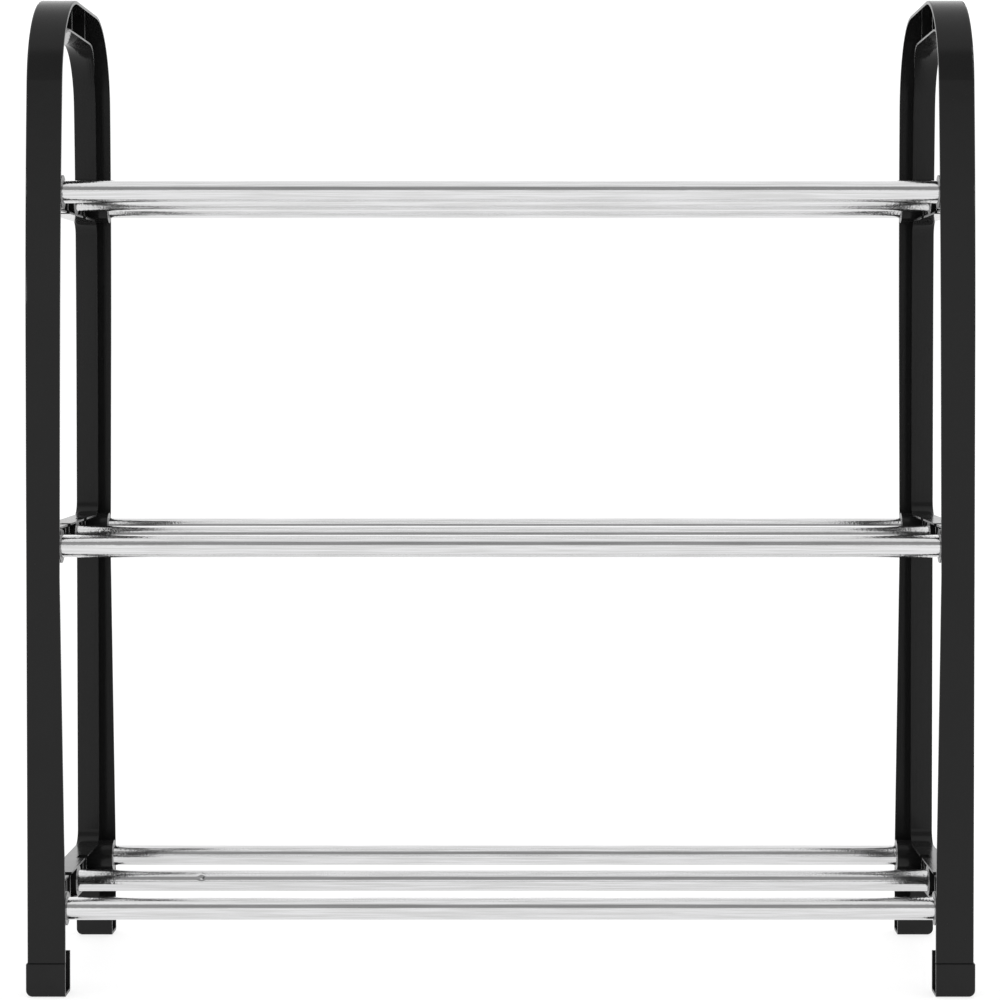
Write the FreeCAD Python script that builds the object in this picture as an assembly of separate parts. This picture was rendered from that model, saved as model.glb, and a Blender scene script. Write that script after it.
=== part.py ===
import FreeCAD, Part
import math
import os

# Three-tier tube shoe rack. Millimetres: X is the width, Y the depth with the front at -Y, Z is up.
# The origin is on the floor, in the middle of the footprint.

rack_width = 500.0        # between the outer faces of the two side frames
rack_depth = 180.0        # over the posts
rack_height = 532.0       # floor to the top of the arch
shelf_heights = {"lower": 45.5, "middle": 238.0, "upper": 425.5}

# Side frame: a moulded channel, with its web outside and its open side towards the middle.
wall = 2.0                # web, flanges and ribs round the windows
post_depth = 16.5         # outer face to inner face of a post, and height of the arch
bar_height = 17.5         # crossbars
inner_flange = 12.5       # reach of the flanges round the windows, from the web's outer face
arch_inner_flange = 15.0  # the same under the arch
flange_at_foot = 20.0     # reach of the outer flange, the same up to foot_straight
flange_at_waist = 17.6    # the same at the waist, just under the middle shelf
flange_at_top = 19.1      # the same at the arch
foot_straight = 50.0
waist_height = 222.0
window_radius = 8.0       # corners between crossbars and posts
outer_edge_radius = 1.2   # long edges of the web's outer face
rim_radius = 0.7          # outer edge of the outer flange's rim
window_edge_radius = 0.7  # edges of the windows in the web's outer face
flange_taper = 1.0        # the flanges round the windows thin out by this much at their rims

# A post stands straight up to bow_start, bows inwards to bow_end and turns into the arch there.
bow_start = 342.0
bow_end = 484.0
bow_radius = 1755.0

# Tubes and the sockets that hold them.
tube_radius = 6.0
tube_wall = 0.6
socket_clearance = 0.05
collar_radius = 8.9
middle_collar_radius = 8.7
collar_proud = 0.15       # a post's collar stands this far past the outer flange
tube_end_gap = 0.2        # between the tube's end and the web

# Pockets in the crossbars, on both sides of the middle socket, each between two thin ribs.
pocket_offset = 27.5
pocket_length = 10.0
pocket_depth = 5.0
rib_thickness = 1.5
rib_recess = 1.0

# Two thin ribs stiffen the arch in the same way.
arch_rib_offset = 22.0
arch_rib_thickness = 0.7

# Foot caps, flush with the post at the front and back and proud of it on the outer side.
cap_height = 18.0
cap_joint = 0.05          # hairline gap between the cap and the post's shoulder
cap_bulge = 0.9
cap_wall = 1.5
cap_floor = 1.5
cap_tab_top = 21.6        # tab beside the edge of the post's inner flange
cap_tab_gap = 0.1
cap_lower_radius = 3.5
cap_shoulder = 0.8        # chamfer on the cap's upper outer edge
neck_clearance = 0.05
neck_top = 24.0           # the neck lines the post up to here

half_depth = rack_depth / 2
post_inner = half_depth - post_depth
half_bar = bar_height / 2
arch_underside = rack_height - post_depth
bow_lean = math.asin((bow_end - bow_start) / bow_radius)
corner_radius = (rack_height - bow_end) / (1 - math.sin(bow_lean))
socket_radius = tube_radius + socket_clearance
reach = 40.0              # further than any flange, for the cutting tools


def at(x, y, z):
    return FreeCAD.Vector(x, y, z)


def block(x_from, x_to, y_from, y_to, z_from, z_to):
    return Part.makeBox(x_to - x_from, y_to - y_from, z_to - z_from, at(x_from, y_from, z_from))


def cylinder_along_x(radius, x_from, x_to, y, z):
    return Part.makeCylinder(radius, x_to - x_from, at(x_from, y, z), at(1, 0, 0))


def front_to_back(shape):
    return shape.mirror(at(0, 0, 0), at(0, 1, 0))


def near(value, target):
    return abs(value - target) < 0.01


def edges_in_plane(shape, x):
    return [edge for edge in shape.Edges if near(edge.BoundBox.XMin, x) and near(edge.BoundBox.XMax, x)]


def setback(z):
    """How far the bowed post has moved in at height z."""
    if z <= bow_start:
        return 0.0
    return bow_radius - math.sqrt(bow_radius ** 2 - (z - bow_start) ** 2)


def outer_reach(z):
    """Reach of the outer flange at height z, from the web's outer face."""
    if z <= foot_straight:
        return flange_at_foot
    if z <= waist_height:
        share = (z - foot_straight) / (waist_height - foot_straight)
        return flange_at_foot + share * (flange_at_waist - flange_at_foot)
    share = (z - waist_height) / (rack_height - waist_height)
    return flange_at_waist + share * (flange_at_top - flange_at_waist)


def outline_slab(inset, bottom, x_from, x_to):
    """The frame's outline seen from the side, moved in by inset except at the bottom, as a slab."""
    front = -half_depth + inset
    bow_centre = at(x_from, -half_depth + bow_radius, bow_start)

    def polar(centre, radius, angle):
        return centre + at(0, radius * math.cos(angle), radius * math.sin(angle))

    bow_end_angle = math.pi - bow_lean
    corner_centre = polar(bow_centre, bow_radius - corner_radius, bow_end_angle)
    bow_middle = polar(bow_centre, bow_radius - inset, math.pi - bow_lean / 2)
    shoulder = polar(bow_centre, bow_radius - inset, bow_end_angle)
    corner_middle = polar(corner_centre, corner_radius - inset, (bow_end_angle + math.pi / 2) / 2)
    crown = polar(corner_centre, corner_radius - inset, math.pi / 2)
    toe = at(x_from, front, bottom)
    hip = at(x_from, front, bow_start)
    front_edges = [
        Part.LineSegment(toe, hip).toShape(),
        Part.Arc(hip, bow_middle, shoulder).toShape(),
        Part.Arc(shoulder, corner_middle, crown).toShape(),
    ]
    back_edges = [front_to_back(edge) for edge in front_edges]
    top = Part.LineSegment(crown, at(x_from, -crown.y, crown.z)).toShape()
    base = Part.LineSegment(toe, at(x_from, -front, bottom)).toShape()
    wire = Part.Wire(Part.__sortEdges__(front_edges + [top] + back_edges + [base]))
    return Part.Face(wire).extrude(at(x_to - x_from, 0, 0))


def flank_tool(points):
    """A solid with its outline in X and Z that runs through the whole depth."""
    corners = [at(x, -rack_depth, z) for x, z in points]
    face = Part.Face(Part.makePolygon(corners + corners[:1]))
    return face.extrude(at(0, 2 * rack_depth, 0))


def windows():
    """Lower and upper edge of each window, from the gap at the floor to the window under the arch."""
    heights = list(shelf_heights.values())
    spans = [(None, heights[0] - half_bar)]
    for lower, upper in zip(heights, heights[1:]):
        spans.append((lower + half_bar, upper - half_bar))
    spans.append((heights[-1] + half_bar, None))
    return spans


def window_slab(span, grow, x_from, x_to):
    """One window, grown by grow. An end with no crossbar is closed by the outline or left open."""
    low, high = span
    bottom = -reach if low is None else low - grow
    top = rack_height if high is None else high + grow
    slab = outline_slab(post_depth - grow, -reach, x_from, x_to)
    slab = slab.common(block(x_from, x_to, -half_depth, half_depth, bottom, top))
    bar_ends = ([] if low is None else [bottom]) + ([] if high is None else [top])
    corners = []
    for edge in slab.Edges:
        box = edge.BoundBox
        along_x = near(box.XLength, x_to - x_from) and box.YLength + box.ZLength < 0.01
        if along_x and any(near(box.ZMin, end) for end in bar_ends):
            corners.append(edge)
    return slab.makeFillet(window_radius + grow, corners)


def outer_channel():
    """Web and outer flange: the outer shape with its rim trimmed, then hollowed from the inside."""
    body = outline_slab(0.0, cap_height, 0.0, flange_at_foot)
    long_edges = [edge for edge in edges_in_plane(body, 0.0) if edge.BoundBox.ZMax > cap_height + 1]
    body = body.makeFillet(outer_edge_radius, long_edges)
    body = body.cut(flank_tool([
        (flange_at_foot, foot_straight),
        (flange_at_waist, waist_height),
        (flange_at_top, rack_height),
        (reach, rack_height),
        (reach, foot_straight),
    ]))
    rim = []
    for edge in body.Edges:
        box = edge.BoundBox
        crosses = box.ZLength < 0.01 and box.YLength > rack_depth - 1
        along_x = box.YLength + box.ZLength < 0.01
        if box.XMin > flange_at_waist - 0.01 and not crosses and not along_x:
            rim.append(edge)
    body = body.makeFillet(rim_radius, rim)
    return body.cut(outline_slab(wall, -reach, wall, reach))


def window_flanges():
    """The flanges round the windows: inner faces of the posts, crossbars and underside of the arch."""
    arch_foot = arch_underside - post_depth
    limit = flank_tool([
        (0.0, cap_height),
        (inner_flange, cap_height),
        (inner_flange, arch_foot),
        (arch_inner_flange, arch_underside),
        (arch_inner_flange, rack_height),
        (0.0, rack_height),
    ])
    made = []
    for span in windows():
        slab = window_slab(span, wall, 0.0, arch_inner_flange).common(limit)
        rim = []
        for edge in slab.Edges:
            box = edge.BoundBox
            level = box.ZLength < 0.01
            crosses = level and any(near(box.ZMin, z) for z in (cap_height, arch_foot, arch_underside))
            if box.XMin > inner_flange - 0.01 and not crosses:
                rim.append(edge)
        made.append(slab.makeChamfer(flange_taper, rim))
    return made


def window_edges(frame):
    """Edges of the windows in the web's outer face."""
    found = []
    for edge in edges_in_plane(frame, 0.0):
        box = edge.BoundBox
        inside = max(abs(box.YMin), abs(box.YMax)) < post_inner + 0.1
        if inside and cap_height + 0.1 < box.ZMax < arch_underside + 0.1:
            found.append(edge)
    return found


def sockets():
    """Height, place in the depth, collar radius and collar reach of the nine sockets of a frame."""
    places = []
    for height in shelf_heights.values():
        post_centre = half_depth - post_depth / 2 - setback(height)
        collar_reach = outer_reach(height) + collar_proud
        places.append((height, -post_centre, collar_radius, collar_reach))
        places.append((height, 0.0, middle_collar_radius, inner_flange))
        places.append((height, post_centre, collar_radius, collar_reach))
    return places


def collars():
    silhouette = outline_slab(0.0, cap_height, wall / 2, reach)
    made = []
    for height, y, radius, collar_reach in sockets():
        made.append(cylinder_along_x(radius, wall / 2, collar_reach, y, height).common(silhouette))
    return made


def bores():
    return [cylinder_along_x(socket_radius, wall, reach, y, height) for height, y, radius, end in sockets()]


def pockets():
    """Slots through the crossbars' upper and lower flanges."""
    cuts = []
    for height in shelf_heights.values():
        for middle in (-pocket_offset, pocket_offset):
            half = pocket_length / 2
            low = height - bar_height
            high = height + bar_height
            cuts.append(block(inner_flange - pocket_depth, reach, middle - half, middle + half, low, high))
    return cuts


def ribs():
    """A rib at each end of every pocket, and two in the arch."""
    half = rib_thickness / 2
    inside = wall / 2
    made = []
    for height in shelf_heights.values():
        low = height - half_bar + inside
        high = height + half_bar - inside
        for middle in (-pocket_offset, pocket_offset):
            for end in (-1, 1):
                y = middle + end * (pocket_length / 2 + half)
                made.append(block(inside, inner_flange - rib_recess, y - half, y + half, low, high))
    low = arch_underside + inside
    high = rack_height - inside
    half = arch_rib_thickness / 2
    for y in (-arch_rib_offset, arch_rib_offset):
        made.append(block(inside, arch_inner_flange - rib_recess, y - half, y + half, low, high))
    return made


def neck():
    """The end of the rear post inside its foot cap: a smaller channel that also lines the post above."""
    inset = cap_wall + neck_clearance
    inner = post_inner + inset
    outer = half_depth - inset
    x_low = inset - cap_bulge
    body = block(x_low, inner_flange, inner, outer, cap_floor + neck_clearance, neck_top)
    return body.cut(block(x_low + wall, reach, inner + wall, outer - wall, 0.0, reach))


def side_frame():
    """One side frame, its web at x = 0 and its open side towards +x."""
    frame = outer_channel().multiFuse(window_flanges())
    frame = frame.cut([window_slab(span, 0.0, -reach, reach) for span in windows()])
    frame = frame.makeFillet(window_edge_radius, window_edges(frame))
    frame = frame.multiFuse(collars() + ribs() + [neck(), front_to_back(neck())])
    return frame.cut(bores() + pockets()).removeSplitter()


def foot_cap():
    """The cap of the rear foot, for a frame with its web at x = 0."""
    top = cap_height - cap_joint
    cap = block(-cap_bulge, flange_at_foot, post_inner, half_depth, 0.0, top)
    lower = [edge for edge in edges_in_plane(cap, -cap_bulge) if near(edge.BoundBox.ZMax, 0.0)]
    cap = cap.makeFillet(cap_lower_radius, lower)
    upright = [edge for edge in edges_in_plane(cap, -cap_bulge) if edge.BoundBox.ZLength > 1]
    cap = cap.makeFillet(outer_edge_radius, upright)
    upper = [edge for edge in edges_in_plane(cap, -cap_bulge) if near(edge.BoundBox.ZMin, top)]
    cap = cap.makeChamfer(cap_shoulder, upper)
    cap = cap.cut(block(
        cap_wall - cap_bulge, reach, post_inner + cap_wall, half_depth - cap_wall, cap_floor, reach))
    tab = block(
        inner_flange + cap_tab_gap, flange_at_foot, post_inner, post_inner + cap_wall, wall, cap_tab_top)
    return cap.fuse(tab).removeSplitter()


def tube(height, y):
    outside = rack_width / 2 - wall - tube_end_gap
    solid = cylinder_along_x(tube_radius, -outside, outside, y, height)
    return solid.cut(cylinder_along_x(tube_radius - tube_wall, -outside, outside, y, height))


def on_side(shape, side):
    """Takes a shape made for a web at x = 0 to the left (-1) or right (+1) end of the rack."""
    placed = shape.copy()
    placed.translate(at(-rack_width / 2, 0, 0))
    return placed if side < 0 else placed.mirror(at(0, 0, 0), at(1, 0, 0))


def save(name, shape):
    kind = "valid" if shape.isValid() and len(shape.Solids) == 1 else "NOT ONE VALID SOLID"
    print(name, kind, round(shape.Volume), "mm3")
    shape.exportStep("parts/" + name + ".step")


os.makedirs("parts", exist_ok=True)

frame = side_frame()
rear_cap = foot_cap()
for side_name, side in (("left", -1), ("right", 1)):
    save("side_frame_" + side_name, on_side(frame, side))
    save("foot_cap_rear_" + side_name, on_side(rear_cap, side))
    save("foot_cap_front_" + side_name, on_side(front_to_back(rear_cap), side))

for shelf, height in shelf_heights.items():
    row = [y for socket_height, y, radius, end in sockets() if socket_height == height]
    for place, y in zip(("front", "middle", "rear"), row):
        save("tube_" + shelf + "_" + place, tube(height, y))
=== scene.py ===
import math

import bmesh
import bpy
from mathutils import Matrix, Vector, noise


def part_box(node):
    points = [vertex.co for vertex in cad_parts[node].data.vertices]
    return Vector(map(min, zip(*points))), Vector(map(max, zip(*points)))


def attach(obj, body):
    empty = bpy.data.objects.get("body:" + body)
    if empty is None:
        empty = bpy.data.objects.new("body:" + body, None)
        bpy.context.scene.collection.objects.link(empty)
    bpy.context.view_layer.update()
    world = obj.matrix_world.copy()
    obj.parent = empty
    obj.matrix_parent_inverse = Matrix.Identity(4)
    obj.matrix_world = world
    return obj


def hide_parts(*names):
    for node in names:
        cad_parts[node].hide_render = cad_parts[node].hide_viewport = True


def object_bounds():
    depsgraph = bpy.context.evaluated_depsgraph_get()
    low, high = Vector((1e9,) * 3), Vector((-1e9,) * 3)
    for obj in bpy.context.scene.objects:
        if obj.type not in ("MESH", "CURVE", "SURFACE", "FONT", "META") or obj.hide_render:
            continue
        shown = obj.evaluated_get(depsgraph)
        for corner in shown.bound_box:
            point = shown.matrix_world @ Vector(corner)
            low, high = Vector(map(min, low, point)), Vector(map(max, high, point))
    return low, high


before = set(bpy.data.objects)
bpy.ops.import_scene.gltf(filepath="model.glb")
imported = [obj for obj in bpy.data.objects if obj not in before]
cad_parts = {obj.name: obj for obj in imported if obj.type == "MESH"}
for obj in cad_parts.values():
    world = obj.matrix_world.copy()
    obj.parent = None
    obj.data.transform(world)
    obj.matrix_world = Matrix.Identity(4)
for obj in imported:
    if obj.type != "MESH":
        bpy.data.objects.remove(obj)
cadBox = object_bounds()
mm = 0.001                  # lengths below are in millimetres and turned to metres with this
usualNoise = (0.3, 0.7)     # most values of a noise texture lie between these

print("frame loaded:", len(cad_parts), "parts")

sideFrames = ["side_frame_left", "side_frame_right"]
footCaps = ["foot_cap_" + where for where in ("front_left", "front_right", "rear_left", "rear_right")]
shelfTubes = [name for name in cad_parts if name.startswith("tube_")]


def linearColour(hexColour):
    # an sRGB hex colour as the linear values that the shaders work in
    channels = [int(hexColour[i:i + 2], 16) / 255 for i in (1, 3, 5)]
    linear = [c / 12.92 if c <= 0.04045 else ((c + 0.055) / 1.055) ** 2.4 for c in channels]
    return (*linear, 1)


def addNode(tree, kind, settings=None, links=None):
    # settings are the node's own options or its sockets' values, and links join other nodes' outputs to it
    added = tree.nodes.new(kind)
    for name, value in (settings or {}).items():
        if isinstance(name, int) or name in added.inputs:
            added.inputs[name].default_value = value
        else:
            setattr(added, name, value)
    for name, output in (links or {}).items():
        tree.links.new(output, added.inputs[name])
    return added


def newMaterial(name):
    # an empty node tree, with the part's own coordinates in metres to measure patterns in
    material = bpy.data.materials.new(name)
    material.use_nodes = True
    tree = material.node_tree
    tree.nodes.clear()
    place = addNode(tree, "ShaderNodeTexCoord").outputs["Object"]
    return material, tree, place


# Side frames: injection-moulded polypropylene, black masterbatch, out of a finely etched steel mould.
# The eye gets a deep black with a soft satin gloss, brighter where it is seen at a slant,
# and the skin is not quite even: slow changes of gloss, and dips opposite the tube sockets.
moulding = {
    "black": "#171717",
    "paleBlack": "#1d1d1d",     # thin films of flow marks, barely lighter
    "roughness": 0.20,
    "roughnessSwing": 0.06,
    "coreRoughness": 0.07,      # undersides come off the polished core of the mould, so they are glossier
    "coreFrom": -0.50,          # the upward part of the facing where the core's polish starts
    "coreFull": -0.85,          # and where nothing is left of the etch
    "specularLevel": 0.185,
    "ior": 1.49,                # polypropylene
    "etchGrain": 0.45,          # mould texture, drawn a few times coarser than a real one so that it shows
    "etchDepth": 0.0036,
    "flowPatch": 38.0,          # size of the slow changes of gloss
    "swell": 0.20,              # and how far the skin rises and falls with them, from uneven shrinking
    "sinkWidth": 9.0,           # dips in the skin opposite each tube socket
    "sinkDepth": 0.10,
    "speckSpacing": 9.9,        # dust and pinholes
    "speckEdge": (0.035, 0.060),    # a speck's radius, full and with its soft edge, as shares of the spacing
    "speckDulling": 0.25,       # how much rougher a speck is than the skin round it
    "toolMark": 0.9,            # spacing of the marks left by stoning the mould along posts and crossbars
    "toolMarkRun": 45.0,        # and how far one runs
    "toolMarkDepth": 0.050,
    "toolMarkShare": 0.7,       # how strongly they show in the skin
}


def mouldedPolypropylene(name, look, sinks):
    material, tree, place = newMaterial(name)
    patches = addNode(tree, "ShaderNodeTexNoise",
                      {"Scale": 1 / (look["flowPatch"] * mm), "Detail": 3.0, "Roughness": 0.55},
                      {"Vector": place})
    grain = addNode(tree, "ShaderNodeTexNoise",
                    {"Scale": 1 / (look["etchGrain"] * mm), "Detail": 2.0, "Roughness": 0.6},
                    {"Vector": place})
    specks = addNode(tree, "ShaderNodeTexVoronoi",
                     {"Scale": 1 / (look["speckSpacing"] * mm), "Randomness": 1.0},
                     {"Vector": place})
    speckMask = addNode(tree, "ShaderNodeMapRange",
                        {"From Min": look["speckEdge"][0], "From Max": look["speckEdge"][1],
                         "To Min": 1.0, "To Max": 0.0},
                        {"Value": specks.outputs["Distance"]})
    colour = addNode(tree, "ShaderNodeMix",
                     {"data_type": "RGBA", 6: linearColour(look["black"]),
                      7: linearColour(look["paleBlack"])},
                     {0: patches.outputs["Fac"]})
    roughness = addNode(tree, "ShaderNodeMapRange",
                        {"From Min": usualNoise[0], "From Max": usualNoise[1],
                         "To Min": look["roughness"] - look["roughnessSwing"] / 2,
                         "To Max": look["roughness"] + look["roughnessSwing"] / 2},
                        {"Value": patches.outputs["Fac"]})
    speckRoughness = addNode(tree, "ShaderNodeMath",
                             {"operation": "MULTIPLY_ADD", 1: look["speckDulling"]},
                             {0: speckMask.outputs["Result"], 2: roughness.outputs["Result"]})
    # the etch fades, and the gloss rises, as the skin turns to face down
    facing = addNode(tree, "ShaderNodeSeparateXYZ", {},
                     {"Vector": addNode(tree, "ShaderNodeTexCoord").outputs["Normal"]})
    etchShare = addNode(tree, "ShaderNodeMapRange",
                        {"From Min": look["coreFull"], "From Max": look["coreFrom"],
                         "To Min": 0.0, "To Max": 1.0},
                        {"Value": facing.outputs["Z"]})
    skinRoughness = addNode(tree, "ShaderNodeMix",
                            {"data_type": "FLOAT", 2: look["coreRoughness"]},
                            {0: etchShare.outputs["Result"], 3: speckRoughness.outputs["Value"]})
    swollen = addNode(tree, "ShaderNodeBump",
                      {"Strength": 1.0, "Distance": look["swell"] * mm},
                      {"Height": patches.outputs["Fac"]})
    etched = addNode(tree, "ShaderNodeBump",
                     {"Distance": look["etchDepth"] * mm},
                     {"Height": grain.outputs["Fac"], "Strength": etchShare.outputs["Result"],
                      "Normal": swollen.outputs["Normal"]})
    stroked = addNode(tree, "ShaderNodeMapping",
                      {"Scale": (1 / (look["toolMark"] * mm), 1 / (look["toolMarkRun"] * mm),
                                 1 / (look["toolMarkRun"] * mm))},
                      {"Vector": place})
    strokes = addNode(tree, "ShaderNodeTexNoise", {"Scale": 1.0, "Detail": 2.0, "Roughness": 0.6},
                      {"Vector": stroked.outputs["Vector"]})
    toolMarks = addNode(tree, "ShaderNodeBump",
                        {"Strength": look["toolMarkShare"], "Distance": look["toolMarkDepth"] * mm},
                        {"Height": strokes.outputs["Fac"], "Normal": etched.outputs["Normal"]})
    normal = toolMarks.outputs["Normal"]
    depth = None
    for centre in sinks:
        # a round dip seen from the side, deepest in line with the tube and gone at sinkWidth from there
        away = addNode(tree, "ShaderNodeVectorMath",
                       {"operation": "SUBTRACT", 1: centre}, {0: place})
        flat = addNode(tree, "ShaderNodeVectorMath",
                       {"operation": "MULTIPLY", 1: (0, 1, 1)}, {0: away.outputs["Vector"]})
        reach = addNode(tree, "ShaderNodeVectorMath",
                        {"operation": "LENGTH"}, {0: flat.outputs["Vector"]})
        dip = addNode(tree, "ShaderNodeMapRange",
                      {"interpolation_type": "SMOOTHERSTEP", "From Min": 0.0,
                       "From Max": look["sinkWidth"] * mm, "To Min": -1.0, "To Max": 0.0},
                      {"Value": reach.outputs["Value"]})
        if depth is None:
            depth = dip.outputs["Result"]
        else:
            depth = addNode(tree, "ShaderNodeMath", {"operation": "ADD"},
                            {0: depth, 1: dip.outputs["Result"]}).outputs["Value"]
    if depth is not None:
        sunk = addNode(tree, "ShaderNodeBump",
                       {"Strength": 1.0, "Distance": look["sinkDepth"] * mm},
                       {"Height": depth, "Normal": normal})
        normal = sunk.outputs["Normal"]
    plastic = addNode(tree, "ShaderNodeBsdfPrincipled",
                      {"IOR": look["ior"], "Specular IOR Level": look["specularLevel"]},
                      {"Base Color": colour.outputs[2], "Roughness": skinRoughness.outputs[0],
                       "Normal": normal})
    addNode(tree, "ShaderNodeOutputMaterial", {}, {"Surface": plastic.outputs["BSDF"]})
    return material


def giveMaterial(part, material):
    part.data.materials.clear()
    part.data.materials.append(material)


def middleOf(nodeName):
    low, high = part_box(nodeName)
    return (low + high) / 2


tubeMiddles = [middleOf(name) for name in shelfTubes]
framePlastic = mouldedPolypropylene("moulded polypropylene black", moulding, tubeMiddles)
for name in sideFrames:
    giveMaterial(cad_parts[name], framePlastic)

print("side frames done")

# Foot caps: the same moulded polypropylene from a plainer mould, so a shade duller.
capMoulding = dict(moulding, roughness=0.30, paleBlack="#202020", flowPatch=14.0, swell=0.05)
capPlastic = mouldedPolypropylene("moulded polypropylene foot cap", capMoulding, [])
for name in footCaps:
    giveMaterial(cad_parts[name], capPlastic)

print("foot caps done")

# Shelf tubes: thin-walled steel tube, drawn and then bright chrome-plated.
# The eye gets a mirror that is drawn out along the tube: clean bands of light, their edges a
# little uneven where the tube was drawn, and a few dings from handling.
tubeShape = {
    "wall": 0.6,
    "around": 72,               # points in a ring
    "ringPitch": 4.0,
    "endRound": 0.25,           # radius of the edge at each end
    "endSteps": 4,
    "drawRipple": 0.035,        # depth of the unevenness from drawing
    "rippleAround": 1.5,        # more makes it narrower round the tube
    "rippleAlong": 70.0,        # how far one ripple runs along the tube
    "nextTube": 7.3,            # a step on through the noise, so that no two tubes are alike
    "dingSteps": 8,             # rings on each side of a ding's middle
    "dingSteepness": 2.5,       # more makes its walls steeper
    "sharpEdge": 40.0,          # edges that turn by more degrees than this stay crisp
}
dings = {
    # how far along from the middle, degrees up from facing the front, how far it reaches, and its depth
    "tube_lower_middle": [{"along": -168.0, "up": 25.0, "reach": 2.2, "depth": 0.62}],
    "tube_lower_front": [{"along": -175.0, "up": -10.0, "reach": 1.3, "depth": 0.08},
                         {"along": -143.0, "up": -4.0, "reach": 1.3, "depth": 0.04}],
    "tube_upper_front": [{"along": 96.0, "up": 14.0, "reach": 3.5, "depth": 0.06}],
    "tube_middle_front": [{"along": -201.0, "up": 22.0, "reach": 3.0, "depth": 0.07}],
}


def ringPlaces(nodeName, reachOut):
    # even steps along the tube, and closer ones over each ding
    steps = round(2 * reachOut / (tubeShape["ringPitch"] * mm))
    places = [reachOut * (2 * k / steps - 1) for k in range(steps + 1)]
    dingSteps = tubeShape["dingSteps"]
    for ding in dings.get(nodeName, []):
        middle = ding["along"] * mm
        span = 2 * ding["reach"] * mm
        places = [place for place in places if abs(place - middle) > span]
        places += [middle + span * k / dingSteps for k in range(-dingSteps, dingSteps + 1)]
    return sorted(places)


def shelfTube(nodeName, number):
    low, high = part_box(nodeName)
    radius = (high.z - low.z) / 2
    centre = (low + high) / 2
    half = (high.x - low.x) / 2
    endRound = tubeShape["endRound"] * mm
    mesh = bmesh.new()

    def unevenness(along, angle):
        # always inwards, so the tube still slides into its socket
        circle = tubeShape["rippleAround"]
        spot = Vector((along / (tubeShape["rippleAlong"] * mm) + tubeShape["nextTube"] * number,
                       circle * math.cos(angle), circle * math.sin(angle)))
        inwards = tubeShape["drawRipple"] * mm * (noise.noise(spot) * 0.5 + 0.5)
        for ding in dings.get(nodeName, []):
            reach = ding["reach"] * mm
            turned = math.remainder(angle - math.pi + math.radians(ding["up"]), 2 * math.pi)
            aside = (along - ding["along"] * mm) / reach
            over = radius * turned / reach
            steepness = tubeShape["dingSteepness"]
            inwards += ding["depth"] * mm * math.exp(-steepness * (aside * aside + over * over))
        return inwards

    def ring(along, ringRadius, drawn):
        points = []
        for i in range(tubeShape["around"]):
            angle = 2 * math.pi * i / tubeShape["around"]
            r = ringRadius - (unevenness(along, angle) if drawn else 0)
            points.append(mesh.verts.new((centre.x + along,
                                          centre.y + r * math.cos(angle),
                                          centre.z + r * math.sin(angle))))
        return points

    def skin(first, second):
        for i in range(-1, len(first) - 1):
            mesh.faces.new((first[i], second[i], second[i + 1], first[i + 1]))

    turns = [math.radians(90 * k / tubeShape["endSteps"]) for k in range(tubeShape["endSteps"])]
    end = [(-half, radius - tubeShape["wall"] * mm, False)]
    end += [(-half + endRound * (1 - math.cos(turn)), radius - endRound * (1 - math.sin(turn)), False)
            for turn in turns]
    straight = [(place, radius, True) for place in ringPlaces(nodeName, half - endRound)]
    otherEnd = [(-along, r, drawn) for along, r, drawn in reversed(end)]
    rings = [ring(*stop) for stop in end + straight + otherEnd]
    for first, second in zip(rings, rings[1:] + rings[:1]):
        skin(first, second)
    bmesh.ops.recalc_face_normals(mesh, faces=mesh.faces)
    data = bpy.data.meshes.new(nodeName + "_drawn")
    mesh.to_mesh(data)
    mesh.free()
    for face in data.polygons:
        face.use_smooth = True
    data.set_sharp_from_angle(angle=math.radians(tubeShape["sharpEdge"]))
    piece = bpy.data.objects.new(nodeName + "_drawn", data)
    bpy.context.scene.collection.objects.link(piece)
    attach(piece, "root")
    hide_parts(nodeName)
    return piece


chrome = {
    "bright": "#dfdfe0",
    "dull": "#cecece",
    "roughness": 0.13,
    "roughnessSwing": 0.06,
    "drawLine": 0.8,            # width of a draw line; the real ones are finer, and wouldn't show
    "drawLineRun": 38.0,        # how far one runs along the tube
    "drawLineDepth": 0.007,
    "dullLines": (0.36, 0.62),  # the noise values between which a draw line goes from bright to dull
    "smudge": 14.0,             # size of the patches where handling has changed the gloss
    "fleck": 2.2,               # spacing of pinholes and specks under the plating
    "fleckEdge": (0.04, 0.11),  # a fleck's radius, full and with its soft edge, as shares of the spacing
    "fleckDulling": 0.2,        # how much rougher it is than the plating round it
    "fleckDepth": 0.020,
    "fleckShare": 0.5,          # how strongly they show in the plating
    "pitting": 1.3,             # spacing of the pitting near the ends, where the plating is poorer
    "pittingDepth": 0.060,
    "pittedLength": 120.0,      # how far it reaches from an end
}


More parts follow.
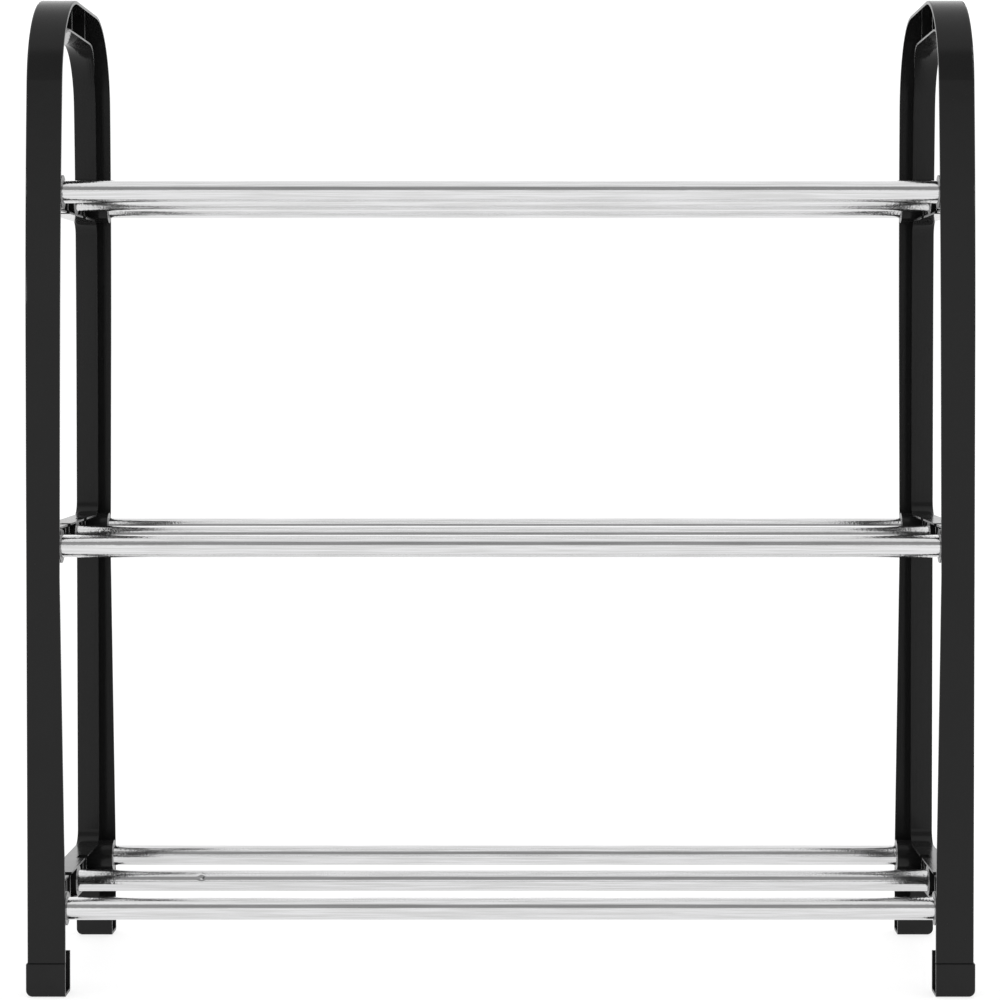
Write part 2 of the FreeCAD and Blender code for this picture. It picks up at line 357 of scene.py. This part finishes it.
def chromePlatedSteel(name, look):
    material, tree, place = newMaterial(name)
    drawn = addNode(tree, "ShaderNodeMapping",
                    {"Scale": (1 / (look["drawLineRun"] * mm),
                               1 / (look["drawLine"] * mm), 1 / (look["drawLine"] * mm))},
                    {"Vector": place})
    lines = addNode(tree, "ShaderNodeTexNoise", {"Scale": 1.0, "Detail": 3.0, "Roughness": 0.5},
                    {"Vector": drawn.outputs["Vector"]})
    smudges = addNode(tree, "ShaderNodeTexNoise",
                      {"Scale": 1 / (look["smudge"] * mm), "Detail": 4.0, "Roughness": 0.6},
                      {"Vector": place})
    streaks = addNode(tree, "ShaderNodeMapRange",
                      {"From Min": look["dullLines"][0], "From Max": look["dullLines"][1]},
                      {"Value": lines.outputs["Fac"]})
    colour = addNode(tree, "ShaderNodeMix",
                     {"data_type": "RGBA", 6: linearColour(look["bright"]),
                      7: linearColour(look["dull"])},
                     {0: streaks.outputs["Result"]})
    flecks = addNode(tree, "ShaderNodeTexVoronoi", {"Scale": 1 / (look["fleck"] * mm)}, {"Vector": place})
    pits = addNode(tree, "ShaderNodeMapRange",
                   {"From Min": look["fleckEdge"][0], "From Max": look["fleckEdge"][1],
                    "To Min": 1.0, "To Max": 0.0},
                   {"Value": flecks.outputs["Distance"]})
    dulled = addNode(tree, "ShaderNodeMapRange",
                     {"From Min": usualNoise[0], "From Max": usualNoise[1],
                      "To Min": look["roughness"] - look["roughnessSwing"] / 2,
                      "To Max": look["roughness"] + look["roughnessSwing"] / 2},
                     {"Value": smudges.outputs["Fac"]})
    roughness = addNode(tree, "ShaderNodeMath", {"operation": "MULTIPLY_ADD", 1: look["fleckDulling"]},
                        {0: pits.outputs["Result"], 2: dulled.outputs["Result"]})
    drawnIn = addNode(tree, "ShaderNodeBump",
                      {"Strength": 1.0, "Distance": look["drawLineDepth"] * mm},
                      {"Height": lines.outputs["Fac"]})
    flecked = addNode(tree, "ShaderNodeBump",
                      {"Strength": look["fleckShare"], "Distance": -look["fleckDepth"] * mm},
                      {"Height": pits.outputs["Result"], "Normal": drawnIn.outputs["Normal"]})
    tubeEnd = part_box(shelfTubes[0])[1].x
    axes = addNode(tree, "ShaderNodeSeparateXYZ", {}, {"Vector": place})
    fromMiddle = addNode(tree, "ShaderNodeMath", {"operation": "ABSOLUTE"}, {0: axes.outputs["X"]})
    nearEnd = addNode(tree, "ShaderNodeMapRange",
                      {"From Min": tubeEnd - look["pittedLength"] * mm, "From Max": tubeEnd},
                      {"Value": fromMiddle.outputs["Value"]})
    grit = addNode(tree, "ShaderNodeTexNoise",
                   {"Scale": 1 / (look["pitting"] * mm), "Detail": 2.0, "Roughness": 0.5},
                   {"Vector": place})
    pitting = addNode(tree, "ShaderNodeMath", {"operation": "MULTIPLY"},
                      {0: grit.outputs["Fac"], 1: nearEnd.outputs["Result"]})
    bump = addNode(tree, "ShaderNodeBump",
                   {"Strength": 1.0, "Distance": look["pittingDepth"] * mm},
                   {"Height": pitting.outputs["Value"], "Normal": flecked.outputs["Normal"]})
    metal = addNode(tree, "ShaderNodeBsdfPrincipled", {"Metallic": 1.0},
                    {"Base Color": colour.outputs[2], "Roughness": roughness.outputs["Value"],
                     "Normal": bump.outputs["Normal"]})
    addNode(tree, "ShaderNodeOutputMaterial", {}, {"Surface": metal.outputs["BSDF"]})
    return material


tubeChrome = chromePlatedSteel("chrome plated drawn steel", chrome)
for number, name in enumerate(sorted(shelfTubes)):
    giveMaterial(shelfTube(name, number), tubeChrome)
    giveMaterial(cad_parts[name], tubeChrome)

print("shelf tubes done")

# The floor is a matt light table, so that next to no shadow shows on it.
floorLook = {
    "size": 40.0,               # metres each way
    "colour": "#909090",
    "glow": 0.74,
    "drop": 0.2,                # below the feet, so that the faces don't flicker
    "roughness": 0.8,
    "fibre": 16.6667,           # a soft unevenness, as of matt paper
    "fibreDepth": 0.5,
    "fibreShare": 0.05,         # how strongly it shows
}


def studioFloor():
    mesh = bmesh.new()
    bmesh.ops.create_grid(mesh, x_segments=4, y_segments=4, size=floorLook["size"] / 2)
    data = bpy.data.meshes.new("studio_floor")
    mesh.to_mesh(data)
    mesh.free()
    floor = bpy.data.objects.new("studio_floor", data)
    floor.location.z = cadBox[0][2] - floorLook["drop"] * mm
    bpy.context.scene.collection.objects.link(floor)
    material, tree, place = newMaterial("matt light table")
    fibres = addNode(tree, "ShaderNodeTexNoise",
                     {"Scale": 1 / (floorLook["fibre"] * mm), "Detail": 3.0}, {"Vector": place})
    paper = addNode(tree, "ShaderNodeBump",
                    {"Strength": floorLook["fibreShare"], "Distance": floorLook["fibreDepth"] * mm},
                    {"Height": fibres.outputs["Fac"]})
    matt = addNode(tree, "ShaderNodeBsdfPrincipled",
                   {"Base Color": linearColour(floorLook["colour"]), "Roughness": floorLook["roughness"],
                    "Emission Color": (1, 1, 1, 1), "Emission Strength": floorLook["glow"]},
                   {"Normal": paper.outputs["Normal"]})
    addNode(tree, "ShaderNodeOutputMaterial", {}, {"Surface": matt.outputs["BSDF"]})
    giveMaterial(floor, material)


studioFloor()

# The light is a white studio: bright paper behind and to the sides, a wide soft box overhead, and
# the darker end of the room in front, above the window that lights the fronts.
studio = {
    # the light round the rack, as turns in degrees from the front horizon over the top to the rear
    # horizon: where it changes, how softly, and to what
    "front": 1.10,
    "changes": [(14.0, 4.0, 0.36),      # the darker end of the room
                (52.0, 5.0, 1.05),      # the soft box overhead
                (130.0, 15.0, 1.28),    # the lit paper behind
                (146.0, 6.0, 1.38),     # brightest low down
                (173.0, 3.0, 1.04)],    # and its foot, level with the rack
    "sides": 1.02,
    "sidesFrom": 0.35,          # share of the direction that points sideways, where the sides take over
    "sidesTo": 0.75,
    "fillPower": 22.0,          # a wide fill light overhead, in watts, for the floor and the tops
    "fillSize": 3.0,            # metres
    "fillHeight": 2.6,          # metres above the feet
}


def studioLight():
    world = bpy.data.worlds.new("white studio")
    bpy.context.scene.world = world
    world.use_nodes = True
    tree = world.node_tree
    tree.nodes.clear()
    direction = addNode(tree, "ShaderNodeTexCoord").outputs["Generated"]
    axes = addNode(tree, "ShaderNodeSeparateXYZ", {}, {"Vector": direction})
    toFront = addNode(tree, "ShaderNodeMath", {"operation": "MULTIPLY", 1: -1.0}, {0: axes.outputs["Y"]})
    turn = addNode(tree, "ShaderNodeMath", {"operation": "ARCTAN2"},
                   {0: axes.outputs["Z"], 1: toFront.outputs["Value"]})
    degrees = addNode(tree, "ShaderNodeMath", {"operation": "DEGREES"}, {0: turn.outputs["Value"]})
    before = studio["front"]
    level = addNode(tree, "ShaderNodeValue").outputs["Value"]
    level.default_value = before
    for edge, soft, after in studio["changes"]:
        step = addNode(tree, "ShaderNodeMapRange",
                       {"interpolation_type": "SMOOTHSTEP", "From Min": edge - soft,
                        "From Max": edge + soft, "To Min": 0.0, "To Max": after - before},
                       {"Value": degrees.outputs["Value"]})
        level = addNode(tree, "ShaderNodeMath", {"operation": "ADD"},
                        {0: level, 1: step.outputs["Result"]}).outputs["Value"]
        before = after
    aside = addNode(tree, "ShaderNodeMath", {"operation": "ABSOLUTE"}, {0: axes.outputs["X"]})
    toSides = addNode(tree, "ShaderNodeMapRange",
                      {"interpolation_type": "SMOOTHSTEP", "From Min": studio["sidesFrom"],
                       "From Max": studio["sidesTo"]},
                      {"Value": aside.outputs["Value"]})
    strength = addNode(tree, "ShaderNodeMix", {"data_type": "FLOAT", 3: studio["sides"]},
                       {0: toSides.outputs["Result"], 2: level})
    sky = addNode(tree, "ShaderNodeBackground", {"Color": (1, 1, 1, 1)}, {"Strength": strength.outputs[0]})
    addNode(tree, "ShaderNodeOutputWorld", {}, {"Surface": sky.outputs["Background"]})

    lamp = bpy.data.lights.new("fill_light", "AREA")
    lamp.shape = "SQUARE"
    lamp.size = studio["fillSize"]
    lamp.energy = studio["fillPower"]
    fill = bpy.data.objects.new("fill_light", lamp)
    fill.location = (0, 0, studio["fillHeight"])
    fill.visible_glossy = False
    fill.visible_camera = False
    bpy.context.scene.collection.objects.link(fill)


studioLight()
bpy.context.scene.view_settings.view_transform = "Standard"

# The camera stands in front, a little right of the middle and level with the space over the middle shelf.
view = {
    "place": (0.0232, -1.590, 0.3367),  # metres
    "lens": 102.65,
    "sensor": 36.0,
    "farthest": 100.0,
    "pitchDown": 1.11,                  # degrees
    "shiftX": -0.0445,
    "shiftY": -0.085,
}


def addCamera():
    lens = bpy.data.cameras.new("camera")
    lens.lens = view["lens"]
    lens.sensor_width = view["sensor"]
    lens.shift_x = view["shiftX"]
    lens.shift_y = view["shiftY"]
    lens.clip_end = view["farthest"]
    camera = bpy.data.objects.new("camera", lens)
    camera.location = view["place"]
    camera.rotation_euler = (math.radians(90 - view["pitchDown"]), 0, 0)
    bpy.context.scene.collection.objects.link(camera)
    bpy.context.scene.camera = camera


addCamera()
print("stage, light and camera done")
